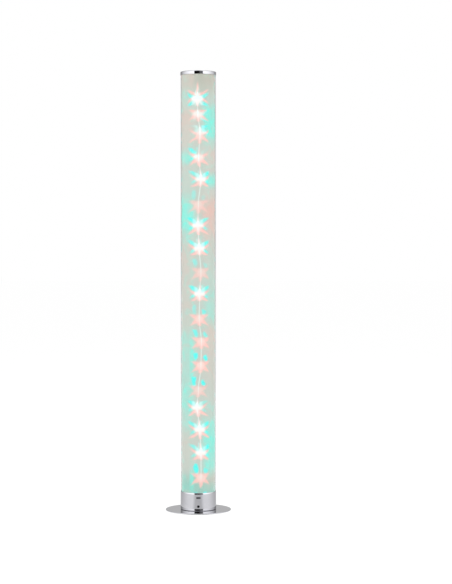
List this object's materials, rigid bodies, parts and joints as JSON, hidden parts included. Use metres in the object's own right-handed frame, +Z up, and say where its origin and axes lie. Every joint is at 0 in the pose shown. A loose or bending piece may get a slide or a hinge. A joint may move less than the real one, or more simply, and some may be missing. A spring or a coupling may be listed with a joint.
{
  "type": "column floor lamp",
  "caption": "Slim round column lamp: clear tube with a star-effect film lit from inside, chromed cap and cup, and a thin round foot plate.",
  "frame": {"origin": "on the floor under the middle of the round foot plate", "axes": "+Z up the tube, -Y towards the front, where the key and the eye are, +X to the right"},
  "size_m": [0.15, 0.15, 1.005],
  "materials": {
    "foot_foam": "closed-cell foam, matt black",
    "chrome": "bright chromed steel",
    "screw_steel": "zinc plated",
    "chassis_plastic": "moulded, fine matt",
    "clear_acrylic": "clear extruded acrylic",
    "star_film": "milky prismatic film that turns each light into a star",
    "carrier_aluminium": "plain drawn aluminium",
    "strip_board": "white flexible board",
    "light_body": "white package with a clear lens",
    "link_film": "amber flexible film",
    "board_green": "solder resist",
    "black_plastic": "moulded, matt black",
    "key_plastic": "moulded, satin dark grey",
    "dark_window": "dark filter acrylic, polished",
    "connector_white": "nylon, natural white",
    "contact_metal": "plated brass",
    "capacitor_sleeve": "sleeved can",
    "lead_insulation": "soft plastic insulation"
  },
  "bodies": {
    "lamp": {"foot_ring_pad": "foot_foam", "foot_plate": "chrome", "plate_screws": "screw_steel", "base_cup": "chrome", "base_chassis": "chassis_plastic", "acrylic_tube": "clear_acrylic", "star_film": "star_film", "top_plug": "chassis_plastic", "top_cap": "chrome", "led_carrier": "carrier_aluminium", "led_strip_front": "strip_board", "led_strip_right": "strip_board", "led_strip_back": "strip_board", "led_strip_left": "strip_board", "led_chips_front": "light_body", "led_chips_right": "light_body", "led_chips_back": "light_body", "led_chips_left": "light_body", "corner_links": "link_film", "controller_board": "board_green", "control_chip": "black_plastic", "driver_transistors": "black_plastic", "board_capacitor": "capacitor_sleeve", "switch_body": "black_plastic", "ir_window": "dark_window", "ir_receiver": "black_plastic", "inlet_body": "black_plastic", "inlet_pin": "contact_metal", "inlet_nut": "black_plastic", "inlet_terminals": "contact_metal", "strip_socket": "connector_white", "strip_plug": "connector_white", "power_socket": "connector_white", "power_plug": "connector_white", "strip_leads": "lead_insulation", "inlet_leads": "lead_insulation"},
    "mode_key": {"mode_button": "key_plastic", "switch_plunger": "connector_white"}
  },
  "joints": [
    {"name": "mode_key_press", "type": "slide", "parent": "lamp", "child": "mode_key", "axis": [0, 1, 0], "range_m": [0, 0.0008], "stiffness_N_per_m": 800, "springref_m": -0.0012}
  ]
}
